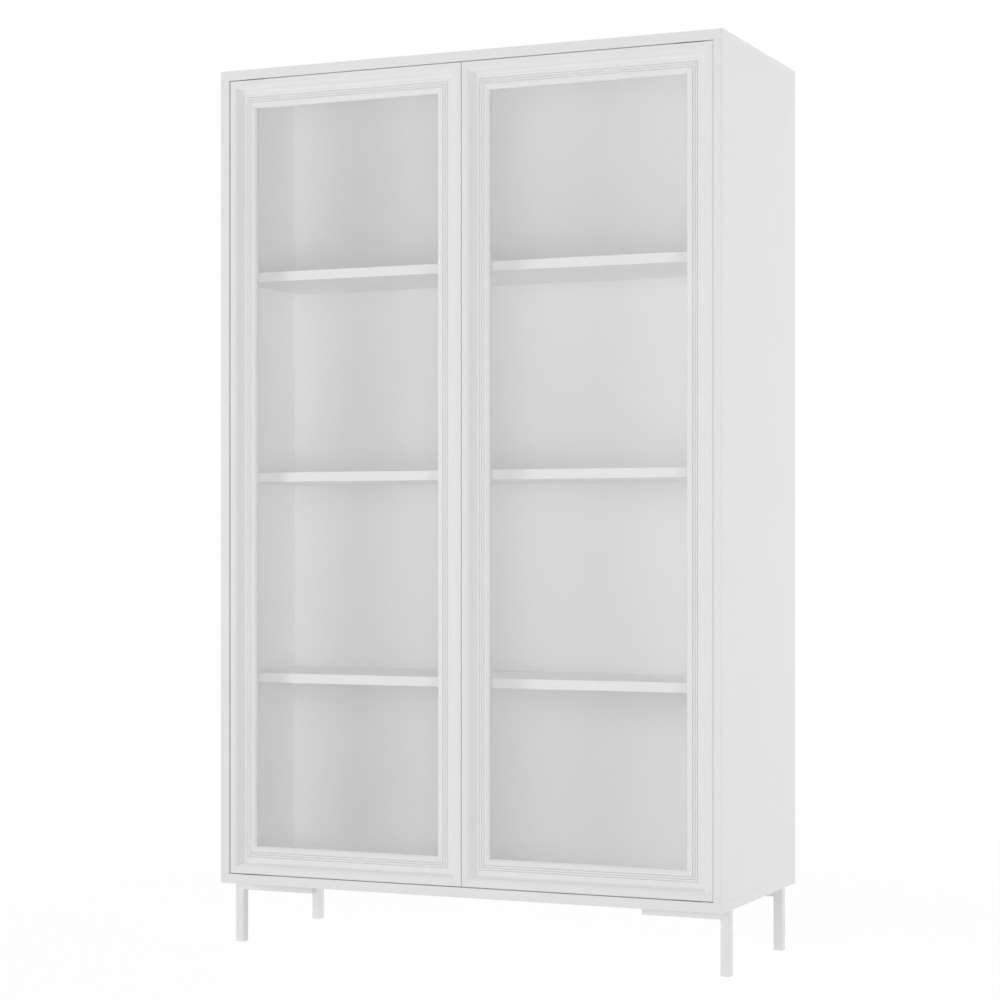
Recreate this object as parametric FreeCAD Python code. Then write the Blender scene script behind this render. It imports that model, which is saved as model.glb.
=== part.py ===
import FreeCAD, Part
import math
import os

# A bookcase with two framed glass doors on four steel corner legs.
# Sizes are in millimetres. +X points right as seen from the front, +Y to the back and +Z up.
# The origin is on the floor, under the middle of the carcass.

# Overall sizes
overall_width = 1000.0
overall_depth = 430.0
overall_height = 1655.0
leg_height = 118.0

# Fits that many pieces share
hole_clearance = 0.05
hole_end_clearance = 0.5
cut_overrun = 5.0
same_place = 1e-6

# Carcass boards
board_thickness = 18.0
board_arris = 0.6

# Back board, let into grooves all round
back_thickness = 3.0
back_inset = 15.0
groove_depth = 8.0
groove_clearance = 0.1
back_edge_clearance = 1.0

# Shelves, from the lowest up
shelf_names = ("lower", "middle", "upper")
shelf_thickness = 18.0
shelf_setback = 46.0
shelf_end_clearance = 0.3
shelf_back_clearance = 1.0

# Cam locks, cam bolts and cam covers at the board corners
cam_inset = 65.0
cam_distance = 34.0
cam_radius = 7.4
cam_height = 12.4
cam_clearance = 0.1
cam_bolt_radius = 3.0
cam_bolt_thread = 11.0
cam_bolt_head_radius = 3.5
cam_bolt_head_length = 5.0
cam_bolt_neck_radius = 2.0
cam_bolt_neck_length = 6.0
cam_slot_clearance = 0.3
cam_cover_radius = 8.5
cam_cover_thickness = 1.0
cam_cover_round = 0.4

# Dowels beside the cams and in the shelf ends
dowel_inset = 125.0
shelf_dowel_inset = 60.0
dowel_radius = 4.0
dowel_length = 30.0
dowel_depth = 11.0

# Doors
door_gap = 1.5
door_setback = 2.0
door_thickness = 22.0
frame_width = 51.5
mitre_clearance = 0.05

# Door moulding, across the frame from its outer edge to the glass and down from its rim
rim_round = 1.0
rim_flat_share = 0.17
cove_end_share = 0.47
bead_end_share = 0.52
quirk_shares = (0.61, 0.695, 0.78)
shoulder_share = 0.60
cove_depth_share = 0.455
face_depth_share = 0.42
quirk_width = 2.0
quirk_depth = 4.0
lip_width = 7.5
lip_edge = 1.0

# Glass and the beads that hold it from behind
glass_thickness = 4.0
glass_edge_clearance = 1.0
glass_play = 0.2
rabbet_width = 8.0
glazing_bead_thickness = 4.0
glazing_bead_round = 1.5
bead_pin_radius = 0.7
bead_pin_length = 16.0
bead_pin_inset = 1.0
stile_pin_shares = (0.15, 0.38, 0.62, 0.85)
rail_pin_shares = (0.3, 0.7)

# Biscuits in the mitres
biscuit_length = 40.0
biscuit_width = 16.0
biscuit_thickness = 4.0
biscuit_clearance = 0.2
biscuit_place_share = 0.42

# Pivot hinges, above and below each door
pivot_edge_distance = 20.0
pivot_front_distance = 7.0
pivot_radius = 2.5
pivot_overrun = 3.0
leaf_length = 60.0
leaf_width = 9.0
leaf_thickness = 2.5
leaf_clearance = 0.1
leaf_screw_shares = (0.45, 0.85)
washer_radius = 4.2
washer_clearance = 0.1

# Countersunk screws in the hinge leaves and the strike plates
screw_radius = 1.5
screw_head_radius = 2.9
screw_head_height = 1.4
screw_length = 14.0
strike_screw_length = 11.0

# Push latches under the top board
latch_edge_distance = 25.0
latch_width = 18.0
latch_height = 20.0
latch_length = 62.0
latch_round = 2.0
latch_bore_radius = 5.0
latch_bore_depth = 52.0
latch_ear_reach = 12.0
latch_ear_depth = 14.0
latch_ear_thickness = 3.0
latch_screw_radius = 1.75
latch_screw_head_radius = 3.2
latch_screw_head_height = 2.0
latch_screw_length = 14.0
plunger_clearance = 0.08
plunger_length = 26.0
plunger_reach = 5.0
plunger_round = 0.8
spring_radius = 4.4
spring_wall = 0.8
strike_radius = 6.0
strike_thickness = 1.0
strike_clearance = 0.2

# Legs of square tube
tube_width = 18.0
tube_wall = 1.5
tube_round = 2.0
inner_round_share = 0.2
leg_side_inset = 4.0
leg_end_inset = 50.0
leg_bar_length = 165.0
plug_clearance = 0.1
plug_depth = 12.0
end_cap_thickness = 2.0
end_cap_round = 0.8
glide_thickness = 3.0
glide_round = 1.5
leg_screw_shares = (0.35, 0.8)
leg_screw_radius = 2.25
leg_screw_head_radius = 4.0
leg_screw_head_height = 2.8
leg_screw_length = 15.0
leg_access_radius = 5.0

# Places worked out from the sizes above
half_width = overall_width / 2
half_depth = overall_depth / 2
inner_half_width = half_width - board_thickness
inner_bottom = leg_height + board_thickness
inner_top = overall_height - board_thickness
inner_height = inner_top - inner_bottom
inner_middle = (inner_bottom + inner_top) / 2
left_face = -inner_half_width
back_rear = half_depth - back_inset
back_front = back_rear - back_thickness
shelf_front = shelf_setback - half_depth
shelf_rear = back_front - shelf_back_clearance
compartment = (inner_height - len(shelf_names) * shelf_thickness) / (len(shelf_names) + 1)
shelf_bottoms = [
    inner_bottom + compartment + level * (compartment + shelf_thickness)
    for level in range(len(shelf_names))
]

door_width = (2 * inner_half_width - 3 * door_gap) / 2
door_height = inner_height - 2 * door_gap
door_left = left_face + door_gap
door_right = door_left + door_width
door_bottom = inner_bottom + door_gap
door_front = door_setback - half_depth
door_rear = door_front + door_thickness

rabbet_start = frame_width - rabbet_width
glazing_bead_front = door_thickness - glazing_bead_thickness
glass_front = glazing_bead_front - glass_play - glass_thickness
cove_depth = cove_depth_share * door_thickness

pivot_x = door_left + pivot_edge_distance
pivot_y = door_front + pivot_front_distance

latch_x = door_right - latch_edge_distance
latch_z = inner_top - latch_height / 2
strike_rear = door_rear + strike_thickness
plunger_tip = strike_rear + strike_clearance
plunger_rear = plunger_tip + plunger_length
latch_front = plunger_tip + plunger_reach

leg_left = leg_side_inset - half_width
leg_right = leg_left + tube_width
leg_front = leg_end_inset - half_depth
leg_rear = leg_front + tube_width
bar_bottom = leg_height - tube_width
bar_end = leg_left + leg_bar_length - end_cap_thickness

RIGHT = FreeCAD.Vector(1, 0, 0)
BACK = FreeCAD.Vector(0, 1, 0)
UP = FreeCAD.Vector(0, 0, 1)


def point(x, y, z):
    return FreeCAD.Vector(x, y, z)


def block(x, y, z):
    """A box between pairs of low and high values."""
    return Part.makeBox(x[1] - x[0], y[1] - y[0], z[1] - z[0], point(x[0], y[0], z[0]))


def rod(radius, start, end):
    """A round bar from one point to another."""
    run = end - start
    return Part.makeCylinder(radius, run.Length, start, run)


def board(x, y, z):
    """A board with every edge eased."""
    blank = block(x, y, z)
    return blank.makeFillet(board_arris, blank.Edges)


def edges_along(shape, direction):
    """The edges of a box that run along a direction."""
    return [
        edge for edge in shape.Edges
        if edge.tangentAt(edge.FirstParameter).cross(direction).Length < same_place
    ]


def edges_in_plane(shape, place, normal):
    """The edges that lie in the plane through a place."""
    return [
        edge for edge in shape.Edges
        if abs((edge.CenterOfMass - place).dot(normal)) < same_place
    ]


def rounded_block(x, y, z, radius, direction):
    """A box with the edges along one direction rounded."""
    blank = block(x, y, z)
    return blank.makeFillet(radius, edges_along(blank, direction))


def side_prism(corners, low_y, high_y):
    """A prism over corners in X and Z, from one Y to another."""
    wire = Part.makePolygon([point(x, low_y, z) for x, z in corners + corners[:1]])
    return Part.Face(wire).extrude(point(0, high_y - low_y, 0))


def to_right(shape):
    """The same shape on the other side of the middle."""
    return shape.mirror(point(0, 0, 0), RIGHT)


def to_rear(shape):
    """The same shape at the other end of the depth."""
    return shape.mirror(point(0, 0, 0), BACK)


def to_top(shape):
    """The same shape mirrored about the middle height of the inside."""
    return shape.mirror(point(0, 0, inner_middle), UP)


def with_mirrored(shapes, mirror):
    return shapes + [mirror(shape) for shape in shapes]


def export(name, *solids):
    """Write one node from one or more solids."""
    shape = solids[0] if len(solids) == 1 else Part.makeCompound(list(solids))
    if not shape.isValid():
        raise ValueError(name + " is not a valid shape")
    shape.exportStep("parts/" + name + ".step")
    print(name, len(shape.Solids), round(shape.Volume))


def countersunk_screw(seat, direction, length, margin=0):
    """A flat-headed screw whose head lies flush at its seat. A margin makes the tool for its hole."""
    shank_radius = screw_radius + margin
    head = Part.makeCone(screw_head_radius + margin, shank_radius, screw_head_height, seat, direction)
    return head.fuse(rod(shank_radius, seat, seat + direction * length)).removeSplitter()


def screw_and_hole(seat, direction, length):
    screw = countersunk_screw(seat, direction, length)
    return screw, countersunk_screw(seat, direction, length + hole_end_clearance, hole_clearance)


def pan_screws(seats, radius, head_radius, head_height, length):
    """Screws driven upwards with round heads under their seats, and the tools for their holes."""
    screws = []
    holes = []
    for seat in seats:
        head_face = seat - UP * head_height
        screw = rod(head_radius, head_face, seat).fuse(rod(radius, head_face, seat + UP * length))
        screws.append(screw.removeSplitter())
        holes.append(rod(radius + hole_clearance, seat, seat + UP * (length + hole_end_clearance)))
    return screws, holes


# Carcass joints, worked out for the front of the lower left corner
def cam_joint():
    """A cam lock, its bolt and cover, and the holes in the side board and in the board that caps it."""
    y = cam_inset - half_depth
    z = inner_bottom + cam_distance
    middle = left_face - board_thickness / 2
    head_start = z - cam_bolt_head_length / 2
    head_end = z + cam_bolt_head_length / 2
    neck_start = head_start - cam_bolt_neck_length
    thread_end = inner_bottom - cam_bolt_thread
    slot_half = cam_bolt_head_radius + cam_slot_clearance
    slot = block(
        (left_face - cam_height - cut_overrun, middle + slot_half),
        (y - slot_half, y + slot_half),
        (z - cam_radius - cut_overrun, head_end + cam_slot_clearance),
    )
    lock = rod(cam_radius, point(left_face, y, z), point(left_face - cam_height, y, z)).cut(slot)
    shank = rod(cam_bolt_radius, point(middle, y, thread_end), point(middle, y, neck_start))
    neck = rod(cam_bolt_neck_radius, point(middle, y, neck_start), point(middle, y, head_start))
    head = rod(cam_bolt_head_radius, point(middle, y, head_start), point(middle, y, head_end))
    bolt = shank.multiFuse([neck, head])
    cover_face = point(left_face + cam_cover_thickness, y, z)
    disc = rod(cam_cover_radius, point(left_face, y, z), cover_face)
    cover = disc.makeFillet(cam_cover_round, edges_in_plane(disc, cover_face, RIGHT))
    lock_hole = rod(
        cam_radius + cam_clearance,
        point(left_face + cut_overrun, y, z),
        point(left_face - cam_height - hole_end_clearance, y, z),
    )
    bolt_hole = rod(
        cam_bolt_head_radius + hole_clearance,
        point(middle, y, inner_bottom - cut_overrun),
        point(middle, y, z),
    )
    cap_hole = rod(
        cam_bolt_radius + hole_clearance,
        point(middle, y, thread_end - hole_end_clearance),
        point(middle, y, inner_bottom + cut_overrun),
    )
    return lock, bolt, cover, lock_hole.fuse(bolt_hole), cap_hole


def dowel_and_hole(start, direction):
    """A dowel along a direction, and the hole for it in both boards."""
    end = start + direction * dowel_length
    spare = direction * hole_end_clearance
    return rod(dowel_radius, start, end), rod(dowel_radius + hole_clearance, start - spare, end + spare)


def corner_dowel():
    """A dowel from the bottom board up into the side board, and its hole."""
    x = left_face - board_thickness / 2
    return dowel_and_hole(point(x, dowel_inset - half_depth, inner_bottom - dowel_depth), UP)


def shelf_dowels(shelf_bottom):
    """The dowels from the side board into a shelf's left end, each with its hole."""
    x = left_face - dowel_depth
    z = shelf_bottom + shelf_thickness / 2
    places = (shelf_front + shelf_dowel_inset, shelf_rear - shelf_dowel_inset)
    return [dowel_and_hole(point(x, y, z), RIGHT) for y in places]


# Door frame, worked out along the bottom edge of a door whose lower left front corner is the origin
def across(u, v, x=0):
    """A place in the frame's section: u in from the outer edge, v back from the rim."""
    return point(x, v, u)


def line(start, end):
    return Part.LineSegment(across(*start), across(*end)).toShape()


def arc(centre, radius, start_angle, end_angle):
    """An arc between two angles, counted from the direction of u towards the back."""
    def place(angle):
        return across(centre[0] + radius * math.cos(angle), centre[1] + radius * math.sin(angle))
    return Part.Arc(place(start_angle), place((start_angle + end_angle) / 2), place(end_angle)).toShape()


def joined_lines(places):
    return [line(start, end) for start, end in zip(places, places[1:])]


def level_arc(run, drop):
    """The end slope and the radius of an arc that starts level and falls by a drop over a run."""
    slope = 2 * math.atan2(drop, run)
    return slope, run / math.sin(slope)


def moulding_section():
    """The frame's section: a flat rim, a shoulder and cove, a low bead, fine quirks and a long round lip."""
    rim_end = rim_flat_share * frame_width
    cove_end = cove_end_share * frame_width
    bead_end = bead_end_share * frame_width
    face_depth = face_depth_share * door_thickness
    lip_start = frame_width - lip_width
    lip_drop = glass_front - lip_edge - face_depth
    quarter = math.pi / 2

    # The shoulder and the cove are two arcs that share one slope where they meet
    slope, both_radii = level_arc(cove_end - rim_end, cove_depth)
    shoulder_radius = shoulder_share * both_radii
    cove_radius = both_radii - shoulder_radius
    bead_slope, bead_radius = level_arc(bead_end - cove_end, cove_depth - face_depth)
    lip_slope, lip_radius = level_arc(lip_width, lip_drop)

    face = [(bead_end, face_depth)]
    for share in quirk_shares:
        u = share * frame_width
        face.append((u - quirk_width / 2, face_depth))
        face.append((u, face_depth + quirk_depth))
        face.append((u + quirk_width / 2, face_depth))
    face.append((lip_start, face_depth))

    edges = [line((0, door_thickness), (0, rim_round))]
    edges.append(arc((rim_round, rim_round), rim_round, -2 * quarter, -quarter))
    edges.append(line((rim_round, 0), (rim_end, 0)))
    edges.append(arc((rim_end, shoulder_radius), shoulder_radius, -quarter, slope - quarter))
    edges.append(arc((cove_end, cove_depth - cove_radius), cove_radius, quarter + slope, quarter))
    edges.append(arc((bead_end, face_depth + bead_radius), bead_radius, -quarter - bead_slope, -quarter))
    edges += joined_lines(face)
    edges.append(arc((lip_start, face_depth + lip_radius), lip_radius, -quarter, lip_slope - quarter))
    edges += joined_lines([
        (frame_width, face_depth + lip_drop),
        (frame_width, glass_front),
        (rabbet_start, glass_front),
        (rabbet_start, door_thickness),
        (0, door_thickness),
    ])
    return Part.Face(Part.Wire(edges))


def glazing_bead_section():
    """A flat strip in the rabbet behind the glass, with its inner rear edge rounded."""
    round_u = frame_width - glazing_bead_round
    round_v = door_thickness - glazing_bead_round
    edges = joined_lines([
        (rabbet_start, door_thickness),
        (rabbet_start, glazing_bead_front),
        (frame_width, glazing_bead_front),
        (frame_width, round_v),
    ])
    edges.append(arc((round_u, round_v), glazing_bead_round, 0, math.pi / 2))
    edges.append(line((round_u, door_thickness), (rabbet_start, door_thickness)))
    return Part.Face(Part.Wire(edges))


def mitred(section, length):
    """A section run along a door edge, with its ends cut to the mitres."""
    low = -cut_overrun
    high = frame_width + cut_overrun
    left_low = low + mitre_clearance
    left_high = high + mitre_clearance
    trim = side_prism(
        [(left_low, low), (length - left_low, low), (length - left_high, high), (left_high, high)],
        -cut_overrun,
        door_thickness + cut_overrun,
    )
    return section.extrude(RIGHT * length).common(trim)


def on_edge(shape, edge):
    """Turn a shape from the door's bottom edge to another edge, and move it into the left door."""
    turns = {"bottom": 0, "left": 90, "top": 180, "right": -90}
    starts = {
        "bottom": point(0, 0, 0),
        "left": point(0, 0, door_height),
        "top": point(door_width, 0, door_height),
        "right": point(door_width, 0, 0),
    }
    turned = shape.copy()
    turned.rotate(point(0, 0, 0), BACK, turns[edge])
    turned.translate(starts[edge] + point(door_left, door_front, door_bottom))
    return turned


def biscuit(margin=0):
    """A lens-shaped biscuit across the mitre at the start of an edge. A margin makes its slot."""
    place = biscuit_place_share * frame_width
    half_thickness = biscuit_thickness / 2 + margin
    centre = across(place, (cove_depth + door_thickness) / 2 - half_thickness, place)
    along = (RIGHT + UP).normalize() * (biscuit_length / 2 + margin)
    aside = (RIGHT - UP).normalize() * (biscuit_width / 2 + margin)
    outline = Part.Wire([
        Part.Arc(centre - along, centre + aside, centre + along).toShape(),
        Part.Arc(centre + along, centre - aside, centre - along).toShape(),
    ])
    return Part.Face(outline).extrude(BACK * (2 * half_thickness))


def bead_pin(distance):
    """A pin driven from the glass side through the bead into the frame, and the tool for its hole."""
    v = glazing_bead_front + glazing_bead_thickness / 2
    start = frame_width - bead_pin_inset
    end = start - bead_pin_length
    pin = rod(bead_pin_radius, across(start, v, distance), across(end, v, distance))
    hole = rod(
        bead_pin_radius + hole_clearance,
        across(frame_width + cut_overrun, v, distance),
        across(end - hole_end_clearance, v, distance),
    )
    return pin, hole


# Hinge at the lower end of the left door
def leaf_blank(low, high, margin=0):
    """A round-ended plate about the pivot, from one height to another. A margin makes its recess."""
    radius = leaf_width / 2 + margin
    far_x = pivot_x + leaf_length - leaf_width
    body = block((pivot_x, far_x), (pivot_y - radius, pivot_y + radius), (low, high))
    ends = [rod(radius, point(x, pivot_y, low), point(x, pivot_y, high)) for x in (pivot_x, far_x)]
    return body.multiFuse(ends).removeSplitter()


def pivot_rod(radius, low, high):
    return rod(radius, point(pivot_x, pivot_y, low), point(pivot_x, pivot_y, high))


def lower_hinge():
    """The two leaves, the washer between them and their screws, with the tools for their recesses."""
    leaf_low = inner_bottom - leaf_thickness
    leaf_high = door_bottom + leaf_thickness
    pin_high = leaf_high + pivot_overrun
    screw_places = [pivot_x - leaf_width / 2 + share * leaf_length for share in leaf_screw_shares]
    carcass_fixings = [
        screw_and_hole(point(x, pivot_y, inner_bottom), -UP, screw_length) for x in screw_places
    ]
    door_fixings = [
        screw_and_hole(point(x, pivot_y, door_bottom), UP, screw_length) for x in screw_places
    ]
    carcass_holes = [hole for _, hole in carcass_fixings]
    door_holes = [hole for _, hole in door_fixings]
    carcass_leaf = leaf_blank(leaf_low, inner_bottom).fuse(pivot_rod(pivot_radius, leaf_low, pin_high))
    pivot_hole = pivot_rod(pivot_radius + hole_clearance, inner_bottom, pin_high)
    return {
        "carcass_leaf": carcass_leaf.removeSplitter().cut(carcass_holes),
        "carcass_screws": [screw for screw, _ in carcass_fixings],
        "carcass_tools": carcass_holes + [leaf_blank(leaf_low, inner_bottom + cut_overrun, leaf_clearance)],
        "washer": pivot_rod(washer_radius, inner_bottom, door_bottom - washer_clearance).cut(pivot_hole),
        "door_leaf": leaf_blank(door_bottom, leaf_high).cut([pivot_hole] + door_holes),
        "door_screws": [screw for screw, _ in door_fixings],
        "door_tools": door_holes + [
            leaf_blank(door_bottom - cut_overrun, leaf_high, leaf_clearance),
            pivot_rod(pivot_radius + hole_end_clearance, door_bottom, pin_high + hole_end_clearance),
        ],
    }


# Push latch for the left door
def latch():
    """The housing, plunger and spring of a latch, its strike plate on the door, and their screws."""
    latch_rear = latch_front + latch_length
    ear_low = inner_top - latch_ear_thickness
    ear_y = (latch_front + latch_rear) / 2
    ear_half = latch_width / 2 + latch_ear_reach
    tip = point(latch_x, plunger_tip, latch_z)
    plunger_end = point(latch_x, plunger_rear, latch_z)
    spring_end = point(latch_x, latch_front + latch_bore_depth, latch_z)
    strike_face = point(latch_x, strike_rear, latch_z)

    body = rounded_block(
        (latch_x - latch_width / 2, latch_x + latch_width / 2),
        (latch_front, latch_rear),
        (inner_top - latch_height, inner_top),
        latch_round,
        BACK,
    )
    ears = rounded_block(
        (latch_x - ear_half, latch_x + ear_half),
        (ear_y - latch_ear_depth / 2, ear_y + latch_ear_depth / 2),
        (ear_low, inner_top),
        latch_round,
        UP,
    )
    bore = rod(latch_bore_radius, point(latch_x, latch_front - cut_overrun, latch_z), spring_end)
    ear_screw_offset = (latch_width + latch_ear_reach) / 2
    seats = [point(latch_x + side * ear_screw_offset, ear_y, ear_low) for side in (-1, 1)]
    screws, screw_holes = pan_screws(
        seats, latch_screw_radius, latch_screw_head_radius, latch_screw_head_height, latch_screw_length)

    plunger_blank = rod(latch_bore_radius - plunger_clearance, tip, plunger_end)
    plunger = plunger_blank.makeFillet(plunger_round, edges_in_plane(plunger_blank, tip, BACK))
    spring = rod(spring_radius, plunger_end, spring_end).cut(
        rod(spring_radius - spring_wall, plunger_end, spring_end))
    strike_screw, strike_hole = screw_and_hole(strike_face, -BACK, strike_screw_length)
    strike = rod(strike_radius, point(latch_x, door_rear, latch_z), strike_face)
    return {
        "housing": body.fuse(ears).removeSplitter().cut([bore] + screw_holes),
        "plunger": plunger,
        "spring": spring,
        "screws": screws,
        "board_tools": screw_holes,
        "strike": strike.cut(strike_hole),
        "strike_screw": strike_screw,
        "door_tools": [strike_hole],
    }


# Leg under the front left corner
def tube_space(inset, x, z, direction):
    """The space of a square tube, set in from its outside."""
    return rounded_block(
        (x[0] + inset, x[1] - inset) if direction == UP else x,
        (leg_front + inset, leg_rear - inset),
        z if direction == UP else (z[0] + inset, z[1] - inset),
        max(tube_round - inset, inner_round_share * tube_round),
        direction,
    )


def leg():
    """A post and a bar of square tube, mitred and welded, with the plugs in their ends and the screws."""
    corner = [(leg_left, leg_height), (leg_right, bar_bottom)]
    post_range = (glide_thickness, leg_height)
    bar_range = (bar_bottom, leg_height)
    post = tube_space(0, (leg_left, leg_right), post_range, UP)
    post = post.cut(tube_space(tube_wall, (leg_left, leg_right), post_range, UP))
    bar = tube_space(0, (leg_left, bar_end), bar_range, RIGHT)
    bar = bar.cut(tube_space(tube_wall, (leg_left, bar_end), bar_range, RIGHT))
    post = post.common(side_prism(
        corner + [(leg_right, glide_thickness), (leg_left, glide_thickness)], leg_front, leg_rear))
    bar = bar.common(side_prism(
        corner + [(bar_end, bar_bottom), (bar_end, leg_height)], leg_front, leg_rear))

    middle_y = (leg_front + leg_rear) / 2
    seat_z = leg_height - tube_wall
    seats = [point(leg_left + share * leg_bar_length, middle_y, seat_z) for share in leg_screw_shares]
    screws, screw_holes = pan_screws(
        seats, leg_screw_radius, leg_screw_head_radius, leg_screw_head_height, leg_screw_length)
    access_holes = [
        rod(leg_access_radius, seat - UP * tube_width, seat - UP * leg_screw_head_height) for seat in seats
    ]
    plug_inset = tube_wall + plug_clearance

    foot = tube_space(0, (leg_left, leg_right), (0, glide_thickness), UP)
    foot = foot.makeFillet(glide_round, edges_in_plane(foot, point(0, 0, 0), UP))
    foot_plug = tube_space(
        plug_inset, (leg_left, leg_right), (glide_thickness, glide_thickness + plug_depth), UP)
    cap_end = bar_end + end_cap_thickness
    cap = tube_space(0, (bar_end, cap_end), bar_range, RIGHT)
    cap = cap.makeFillet(end_cap_round, edges_in_plane(cap, point(cap_end, 0, 0), RIGHT))
    cap_plug = tube_space(plug_inset, (bar_end - plug_depth, bar_end), bar_range, RIGHT)
    return {
        "leg": post.fuse(bar).removeSplitter().cut(screw_holes + access_holes),
        "glide": foot.fuse(foot_plug),
        "end_cap": cap.fuse(cap_plug),
        "screws": screws,
        "board_tools": screw_holes,
    }


def make_carcass(hinge, push_latch, corner_leg):
    """The boards with every groove and hole, the shelves, and what joins them."""
    lock, bolt, cover, side_tool, cap_tool = cam_joint()
    dowel, dowel_tool = corner_dowel()
    shelf_fixings = [fixing for bottom in shelf_bottoms for fixing in shelf_dowels(bottom)]
    shelf_tools = [hole for _, hole in shelf_fixings]

    depth = (-half_depth, half_depth)
    groove_y = (back_front - groove_clearance, back_rear + groove_clearance)
    groove_x = left_face - groove_depth
    side_groove = block((groove_x, left_face + cut_overrun), groove_y, (leg_height, overall_height))
    cap_groove = block((groove_x, -groove_x), groove_y, (inner_bottom - groove_depth, inner_middle))

    end_tools = with_mirrored([dowel_tool], to_rear)
    side_tools = with_mirrored(with_mirrored([side_tool], to_rear) + end_tools, to_top)
    side_tools += shelf_tools + [side_groove]
    left_side = board((-half_width, left_face), depth, (inner_bottom, inner_top)).cut(side_tools)

    cap_tools = with_mirrored(with_mirrored([cap_tool], to_rear) + end_tools, to_right)
    cap_tools += with_mirrored(hinge["carcass_tools"], to_right) + [cap_groove]
    leg_tools = with_mirrored(with_mirrored(corner_leg["board_tools"], to_right), to_rear)
    latch_tools = with_mirrored(push_latch["board_tools"], to_right)
    width = (-half_width, half_width)
    bottom = board(width, depth, (leg_height, inner_bottom)).cut(cap_tools + leg_tools)
    top_tools = [to_top(tool) for tool in cap_tools]
    top = board(width, depth, (inner_top, overall_height)).cut(top_tools + latch_tools)

    back_half = -groove_x - back_edge_clearance
    back_height = (inner_bottom - groove_depth, inner_top + groove_depth - back_edge_clearance)
    export("top_panel", top)
    export("bottom_panel", bottom)
    export("left_side_panel", left_side)
    export("right_side_panel", to_right(left_side))
    export("back_panel", block((-back_half, back_half), (back_front, back_rear), back_height))

    shelf_half = inner_half_width - shelf_end_clearance
    for name, shelf_bottom in zip(shelf_names, shelf_bottoms):
        height = (shelf_bottom, shelf_bottom + shelf_thickness)
        shelf = board((-shelf_half, shelf_half), (shelf_front, shelf_rear), height)
        export(name + "_shelf", shelf.cut(with_mirrored(shelf_tools, to_right)))
    export("shelf_dowels", *with_mirrored([piece for piece, _ in shelf_fixings], to_right))
    for name, piece in (("cam_locks", lock), ("cam_bolts", bolt), ("cam_covers", cover), ("dowels", dowel)):
        export(name, *with_mirrored(with_mirrored(with_mirrored([piece], to_rear), to_top), to_right))


def make_doors(hinge, push_latch):
    """Both doors: the frame, glass, beads and what is fixed to them, the right one mirrored."""
    lengths = {"bottom": door_width, "left": door_height, "top": door_width, "right": door_height}
    pin_shares = {"bottom": rail_pin_shares, "left": stile_pin_shares}
    pin_shares.update({"top": rail_pin_shares, "right": stile_pin_shares})
    slots = [on_edge(biscuit(biscuit_clearance), edge) for edge in lengths]
    fitting_tools = {
        "bottom": hinge["door_tools"],
        "left": [],
        "top": [to_top(tool) for tool in hinge["door_tools"]] + push_latch["door_tools"],
        "right": [],
    }
    section = moulding_section()
    bead_section = glazing_bead_section()
    members = {}
    beads = []
    pins = []
    for edge, length in lengths.items():
        fixings = [bead_pin(share * length) for share in pin_shares[edge]]
        pins += [on_edge(pin, edge) for pin, _ in fixings]
        holes = [on_edge(hole, edge) for _, hole in fixings]
        member = on_edge(mitred(section, length), edge)
        members[edge] = member.cut(slots + holes + fitting_tools[edge])
        beads.append(on_edge(mitred(bead_section, length), edge).cut(holes))

    pane_start = rabbet_start + glass_edge_clearance
    pane = block(
        (door_left + pane_start, door_right - pane_start),
        (door_front + glass_front, door_front + glass_front + glass_thickness),
        (door_bottom + rabbet_start, door_bottom + door_height - pane_start),
    )
    screws = with_mirrored(hinge["door_screws"], to_top) + [push_latch["strike_screw"]]
    pieces = {
        "hinge_stile": [members["left"]],
        "lock_stile": [members["right"]],
        "top_rail": [members["top"]],
        "bottom_rail": [members["bottom"]],
        "corner_biscuits": [on_edge(biscuit(), edge) for edge in lengths],
        "glass": [pane],
        "glazing_beads": beads,
        "bead_pins": pins,
        "lower_leaf": [hinge["door_leaf"]],
        "upper_leaf": [to_top(hinge["door_leaf"])],
        "strike_plate": [push_latch["strike"]],
        "screws": screws,
    }
    for name, solids in pieces.items():
        export("left_door_" + name, *solids)
        export("right_door_" + name, *[to_right(solid) for solid in solids])


def make_hinges(hinge):
    """The carcass side of all four hinges."""
    for level, leaf in (("lower", hinge["carcass_leaf"]), ("upper", to_top(hinge["carcass_leaf"]))):
        export("left_" + level + "_pivot_leaf", leaf)
        export("right_" + level + "_pivot_leaf", to_right(leaf))
    export("hinge_washers", *with_mirrored(with_mirrored([hinge["washer"]], to_top), to_right))
    export("hinge_screws", *with_mirrored(with_mirrored(hinge["carcass_screws"], to_top), to_right))


def make_latches(push_latch):
    for name in ("housing", "plunger", "spring"):
        export("left_latch_" + name, push_latch[name])
        export("right_latch_" + name, to_right(push_latch[name]))
    export("latch_screws", *with_mirrored(push_latch["screws"], to_right))


def make_legs(corner_leg):
    for name in ("leg", "glide"):
        piece = corner_leg[name]
        export("front_left_" + name, piece)
        export("front_right_" + name, to_right(piece))
        export("rear_left_" + name, to_rear(piece))
        export("rear_right_" + name, to_rear(to_right(piece)))
    export("leg_end_caps", *with_mirrored(with_mirrored([corner_leg["end_cap"]], to_right), to_rear))
    export("leg_screws", *with_mirrored(with_mirrored(corner_leg["screws"], to_right), to_rear))


os.makedirs("parts", exist_ok=True)
door_hinge = lower_hinge()
door_latch = latch()
front_left_leg = leg()
make_carcass(door_hinge, door_latch, front_left_leg)
make_doors(door_hinge, door_latch)
make_hinges(door_hinge)
make_latches(door_latch)
make_legs(front_left_leg)
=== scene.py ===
import bpy
import math
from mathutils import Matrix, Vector


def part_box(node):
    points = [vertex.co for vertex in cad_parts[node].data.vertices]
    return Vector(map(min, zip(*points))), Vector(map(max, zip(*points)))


# The looks of a white bookcase with two framed glass doors, in metres, in the frame of its parts.

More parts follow.
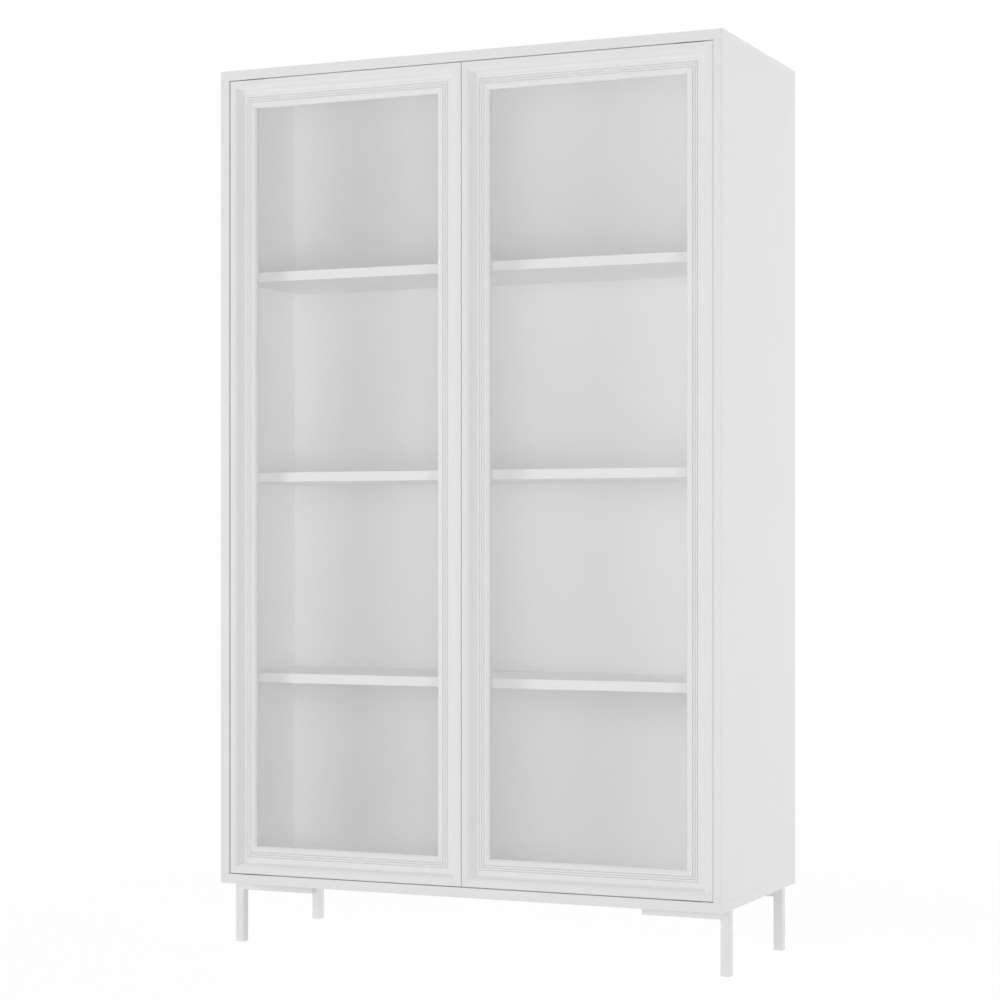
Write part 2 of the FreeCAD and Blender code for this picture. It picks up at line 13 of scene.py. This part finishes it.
# Camera, fitted to the carcass corners in a picture of 1000 by 1000 pixels
picture_side_px = 1000
focal_px = 2480.14
horizon_px = 544.84
sensor_width_mm = 36.0
camera_place = (1.86592, -4.31368, 0.75857)
camera_turn_deg = 23.5703
level_tilt_deg = 90.0

# Light, fitted to the greys of the picture
ambient_strength = 0.378
lamp_table = {
    "left_key": {"place": (-5.0, -3.05, 0.9), "size": 1.5, "watts": 88.5},
    "front_fill": {"place": (0.9, -4.8, 0.9), "size": 1.8, "watts": 29.0},
    "right_fill": {"place": (4.2, -5.0, 0.6), "size": 1.35, "watts": 48.0},
    "right_rear": {"place": (5.0, 2.35, 1.0), "size": 2.2, "watts": 78.0},
}
lamp_aim = (0.0, 0.0, 0.85)
diffuse_bounces = 12
all_bounces = 16

# Floor and backdrop: white to the eye, but for a faint shadow on the floor near the object, which the
# floor lights as pale paint does
white_strength = 1.0
floor_half_side = 30.0
floor_colour = (0.95, 0.95, 0.95)
floor_glow = 0.95
floor_shadow_colour = (0.08, 0.08, 0.08)
floor_fade = (0.9, 2.2)

# Colours: a painted finish is clouded between a light and a dark one
white_pair = {"light": (0.95, 0.95, 0.95), "dark": (0.94, 0.94, 0.94)}
grey_pair = {"light": (0.62, 0.62, 0.62), "dark": (0.60, 0.60, 0.60)}
zinc_pair = {"light": (0.62, 0.63, 0.65), "dark": (0.52, 0.53, 0.55)}
cast_pair = {"light": (0.52, 0.53, 0.54), "dark": (0.45, 0.46, 0.47)}
brass_pair = {"light": (0.78, 0.62, 0.32), "dark": (0.70, 0.54, 0.26)}
beech_pair = {"light": (0.72, 0.55, 0.38), "dark": (0.62, 0.45, 0.30)}
glass_tints = ((0.975, 0.99, 0.982), (0.985, 0.995, 0.99))
glass_ior = 1.5
# The dark of the edge band seams, also used as painted shade for the gaps at the side boards' joints
seam_and_painted_gap_shade = (0.72, 0.71, 0.70)

# Surfaces: the range of roughness, and the size and height of the grain, which wood has along an axis
board = {"roughness": (0.38, 0.44), "grain": 0.0012, "depth": 0.0000005}
back = {"roughness": (0.45, 0.52), "grain": 0.0015, "depth": 0.0000005}
moulding = {"roughness": (0.30, 0.36), "grain": 0.0012, "depth": 0.0000003}
powder = {"roughness": (0.40, 0.48), "grain": 0.0008, "depth": 0.000002}
plastic = {"roughness": (0.42, 0.52), "grain": 0.0006, "depth": 0.00002}
plating = {"roughness": (0.25, 0.4), "grain": 0.0005, "depth": 0.00001, "metallic": 1.0}
casting = {"roughness": (0.45, 0.6), "grain": 0.0008, "depth": 0.00004, "metallic": 1.0}
turning = {"roughness": (0.2, 0.3), "grain": 0.0004, "depth": 0.00001, "metallic": 1.0}
timber = {"roughness": (0.55, 0.7), "grain": 0.001, "depth": 0.00005}
along_x = (0.05, 1, 1)
along_z = (1, 1, 0.05)
cloud_grain = 0.15
gloss_grain = 0.02
glass_cloud_grain = 0.3
noise_range = (0.3, 0.7)
noise_detail = 3.0

# Lines on the boards: edge band seams, and painted shade on the joints where the side boards meet the boards
# above and below
edge_band = 0.001
seam_half_width = 0.00012
painted_joint_shade_width = 0.00025

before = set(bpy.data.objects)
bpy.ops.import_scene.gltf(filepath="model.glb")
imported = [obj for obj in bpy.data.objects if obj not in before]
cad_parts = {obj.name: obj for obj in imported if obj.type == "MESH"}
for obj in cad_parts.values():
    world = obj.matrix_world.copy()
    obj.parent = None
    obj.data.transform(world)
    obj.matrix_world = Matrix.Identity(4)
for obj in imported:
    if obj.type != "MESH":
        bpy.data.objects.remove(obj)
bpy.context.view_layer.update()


# Shader helpers
def new_finish(name):
    """An empty material: its node tree and its surface output."""
    material = bpy.data.materials.new(name)
    material.use_nodes = True
    tree = material.node_tree
    tree.nodes.clear()
    output = tree.nodes.new("ShaderNodeOutputMaterial")
    return material, tree, output.inputs["Surface"]


def add(tree, kind, inputs=None, **settings):
    """A node with its settings, whose inputs are plain values or other nodes' outputs."""
    node = tree.nodes.new(kind)
    for name, value in settings.items():
        setattr(node, name, value)
    for name, value in (inputs or {}).items():
        if isinstance(value, bpy.types.NodeSocket):
            tree.links.new(value, node.inputs[name])
        else:
            node.inputs[name].default_value = value
    return node


def math_node(tree, operation, first, second):
    return add(tree, "ShaderNodeMath", {0: first, 1: second}, operation=operation).outputs[0]


def object_place(tree, stretch=(1, 1, 1)):
    """Places on the part in metres, with an axis drawn out where its stretch is small."""
    source = add(tree, "ShaderNodeTexCoord").outputs["Object"]
    return add(tree, "ShaderNodeMapping", {"Vector": source, "Scale": stretch}).outputs["Vector"]


def noise(tree, place, grain, low=0.0, high=1.0):
    """Soft noise with a grain in metres, spread between two values."""
    pattern = add(tree, "ShaderNodeTexNoise", {"Vector": place, "Scale": 1 / grain, "Detail": noise_detail})
    inputs = {
        "Value": pattern.outputs["Fac"],
        "From Min": noise_range[0],
        "From Max": noise_range[1],
        "To Min": low,
        "To Max": high,
    }
    return add(tree, "ShaderNodeMapRange", inputs).outputs["Result"]


def tinted(tree, factor, first, second):
    """A colour between two, by a factor. Each is a plain colour or a node's output."""
    mix = add(tree, "ShaderNodeMix", data_type="RGBA")
    tree.links.new(factor, mix.inputs["Factor"])
    colour_inputs = [socket for socket in mix.inputs if socket.type == "RGBA"]
    for socket, colour in zip(colour_inputs, (first, second)):
        if isinstance(colour, bpy.types.NodeSocket):
            tree.links.new(colour, socket)
        else:
            socket.default_value = (*colour, 1)
    return [socket for socket in mix.outputs if socket.type == "RGBA"][0]


def bump(tree, height, depth):
    """A surface normal from a height of 0 to 1, raised by a depth in metres."""
    inputs = {"Height": height, "Strength": 1.0, "Distance": depth}
    return add(tree, "ShaderNodeBump", inputs).outputs["Normal"]


def on_line(tree, axis, middle, half_width):
    """1 on the part where its place along an axis is near a middle, else 0."""
    source = add(tree, "ShaderNodeTexCoord").outputs["Object"]
    along = add(tree, "ShaderNodeSeparateXYZ", {"Vector": source}).outputs[axis]
    return add(tree, "ShaderNodeMath", {0: along, 1: middle, 2: half_width}, operation="COMPARE").outputs[0]


# Finishes
def painted(name, light, dark, roughness, grain, depth, stretch=(1, 1, 1), metallic=0.0, lines=()):
    """A solid finish: clouded colour, uneven gloss and a fine raised grain, with thin dark lines on it."""
    material, tree, surface = new_finish(name)
    place = object_place(tree, stretch)
    colour = tinted(tree, noise(tree, place, cloud_grain), dark, light)
    # Thin dark lines: real edge band seams, and painted shade where a joint's gap would be
    for axis, middle, half_width in lines:
        colour = tinted(tree, on_line(tree, axis, middle, half_width), colour, seam_and_painted_gap_shade)
    inputs = {
        "Base Color": colour,
        "Roughness": noise(tree, place, gloss_grain, *roughness),
        "Metallic": metallic,
        "Normal": bump(tree, noise(tree, place, grain), depth),
    }
    shader = add(tree, "ShaderNodeBsdfPrincipled", inputs)
    tree.links.new(shader.outputs["BSDF"], surface)
    return material


def clear_glass():
    """Glass that bends the view at the face it enters, and lets lamps and bounced light through."""
    material, tree, surface = new_finish("float_glass")
    place = object_place(tree)
    tint = tinted(tree, noise(tree, place, glass_cloud_grain), *glass_tints)
    inputs = {"Base Color": tint, "Roughness": 0.0, "IOR": glass_ior, "Transmission Weight": 1.0}
    bent = add(tree, "ShaderNodeBsdfPrincipled", inputs)
    passed = add(tree, "ShaderNodeBsdfTransparent")
    path = add(tree, "ShaderNodeLightPath")
    leaving = add(tree, "ShaderNodeNewGeometry").outputs["Backfacing"]
    unbent = math_node(tree, "MAXIMUM", path.outputs["Is Shadow Ray"], path.outputs["Is Diffuse Ray"])
    factor = math_node(tree, "MAXIMUM", unbent, leaving)
    mix = add(tree, "ShaderNodeMixShader", {0: factor, 1: bent.outputs[0], 2: passed.outputs[0]})
    tree.links.new(mix.outputs[0], surface)
    return material


def band_seam(node):
    """The line where a board's front edge band meets its faces."""
    return ("Y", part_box(node)[0][1] + edge_band, seam_half_width)


def painted_joint_shade_lines(node):
    """Painted shade on the lines where a side board's ends meet the boards above and below it, standing for
    the shade in a gap there.
    """
    low_corner, high_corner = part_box(node)
    return [("Z", low_corner[2], painted_joint_shade_width), ("Z", high_corner[2], painted_joint_shade_width)]


# Which finish goes where: the slots of the parts, and parts with a finish of their own
# A side board's edge band seam, and painted shade at its two joints with the boards above and below
side_lines = [band_seam("left_side_panel"), *painted_joint_shade_lines("left_side_panel")]
finishes = {
    "white_board": painted("board_foil", **white_pair, **board, lines=[band_seam("top_panel")]),
    "side_board": painted("side_foil", **white_pair, **board, lines=side_lines),
    "shelf_board": painted("shelf_foil", **white_pair, **board, lines=[band_seam("middle_shelf")]),
    "white_back_board": painted("back_lacquer", **white_pair, **back),
    "white_door_moulding": painted("moulding_foil", **white_pair, **moulding),
    "clear_glass": clear_glass(),
    "white_steel": painted("powder_coat", **white_pair, **powder),
    "white_plastic": painted("white_plastic_moulded", **white_pair, **plastic),
    "grey_plastic": painted("grey_plastic_moulded", **grey_pair, **plastic),
    "zinc_plated_steel": painted("zinc_plate", **zinc_pair, **plating),
    "zinc_casting": painted("zinc_cast", **cast_pair, **casting),
    "brass": painted("turned_brass", **brass_pair, **turning),
    "beech": painted("bare_beech", **beech_pair, **timber, stretch=along_z),
    "beech_across": painted("bare_beech_across", **beech_pair, **timber, stretch=along_x),
}
own_finishes = {"_shelf": "shelf_board", "_side_panel": "side_board", "shelf_dowels": "beech_across"}
for name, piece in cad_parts.items():
    slot = piece.material_slots[0]
    kinds = [kind for ending, kind in own_finishes.items() if name.endswith(ending)]
    slot.material = finishes[kinds[0] if kinds else slot.material.name.split(".")[0]]


# Stage
def for_the_eye(tree):
    """1 for rays that show a thing to the camera, straight, mirrored or through glass."""
    path = add(tree, "ShaderNodeLightPath")
    mirrored = math_node(tree, "MAXIMUM", path.outputs["Is Camera Ray"], path.outputs["Is Glossy Ray"])
    return math_node(tree, "MAXIMUM", mirrored, path.outputs["Is Transmission Ray"])


def pale_floor():
    """A floor that is white to the eye, but for the object's shadow, and lights the object as pale paint."""
    material, tree, surface = new_finish("pale_floor")
    paint = add(tree, "ShaderNodeBsdfDiffuse", {"Color": (*floor_colour, 1)})
    shadowed = add(tree, "ShaderNodeBsdfDiffuse", {"Color": (*floor_shadow_colour, 1)})
    glow = add(tree, "ShaderNodeEmission", {"Strength": floor_glow})
    near = add(tree, "ShaderNodeAddShader", {0: glow.outputs[0], 1: shadowed.outputs[0]})
    far = add(tree, "ShaderNodeEmission", {"Strength": white_strength})
    away = add(tree, "ShaderNodeVectorMath", {0: object_place(tree)}, operation="LENGTH").outputs["Value"]
    inputs = {"Value": away, "From Min": floor_fade[0], "From Max": floor_fade[1]}
    fade = add(tree, "ShaderNodeMapRange", inputs, interpolation_type="SMOOTHSTEP").outputs["Result"]
    shown = add(tree, "ShaderNodeMixShader", {0: fade, 1: near.outputs[0], 2: far.outputs[0]})
    mix = add(tree, "ShaderNodeMixShader", {0: for_the_eye(tree), 1: paint.outputs[0], 2: shown.outputs[0]})
    tree.links.new(mix.outputs[0], surface)
    return material


def make_floor():
    side = floor_half_side
    mesh = bpy.data.meshes.new("floor")
    corners = [(-side, -side, 0), (side, -side, 0), (side, side, 0), (-side, side, 0)]
    mesh.from_pydata(corners, [], [(0, 1, 2, 3)])
    mesh.materials.append(pale_floor())
    floor = bpy.data.objects.new("floor", mesh)
    bpy.context.scene.collection.objects.link(floor)


def make_world():
    """White to the eye, and an even soft light on the object."""
    world = bpy.data.worlds.new("studio")
    bpy.context.scene.world = world
    world.use_nodes = True
    tree = world.node_tree
    tree.nodes.clear()
    output = add(tree, "ShaderNodeOutputWorld")
    light = add(tree, "ShaderNodeBackground", {"Color": (1, 1, 1, 1), "Strength": ambient_strength})
    backdrop = add(tree, "ShaderNodeBackground", {"Color": (1, 1, 1, 1), "Strength": white_strength})
    inputs = {0: for_the_eye(tree), 1: light.outputs[0], 2: backdrop.outputs[0]}
    mix = add(tree, "ShaderNodeMixShader", inputs)
    tree.links.new(mix.outputs[0], output.inputs["Surface"])


def make_lamps():
    for name, facts in lamp_table.items():
        data = bpy.data.lights.new(name, "AREA")
        data.shape = "DISK"
        data.size = facts["size"]
        data.energy = facts["watts"]
        lamp = bpy.data.objects.new(name, data)
        lamp.location = facts["place"]
        lamp.rotation_euler = (Vector(lamp_aim) - lamp.location).to_track_quat("-Z", "Y").to_euler()
        lamp.visible_glossy = False
        bpy.context.scene.collection.objects.link(lamp)


def make_camera():
    data = bpy.data.cameras.new("camera")
    data.sensor_width = sensor_width_mm
    data.lens = focal_px / picture_side_px * sensor_width_mm
    data.shift_y = (horizon_px - picture_side_px / 2) / picture_side_px
    camera = bpy.data.objects.new("camera", data)
    camera.location = camera_place
    camera.rotation_euler = (math.radians(level_tilt_deg), 0, math.radians(camera_turn_deg))
    bpy.context.scene.collection.objects.link(camera)
    bpy.context.scene.camera = camera


make_floor()
make_world()
make_lamps()
make_camera()
bpy.context.scene.view_settings.view_transform = "Standard"
bpy.context.scene.cycles.diffuse_bounces = diffuse_bounces
bpy.context.scene.cycles.max_bounces = all_bounces
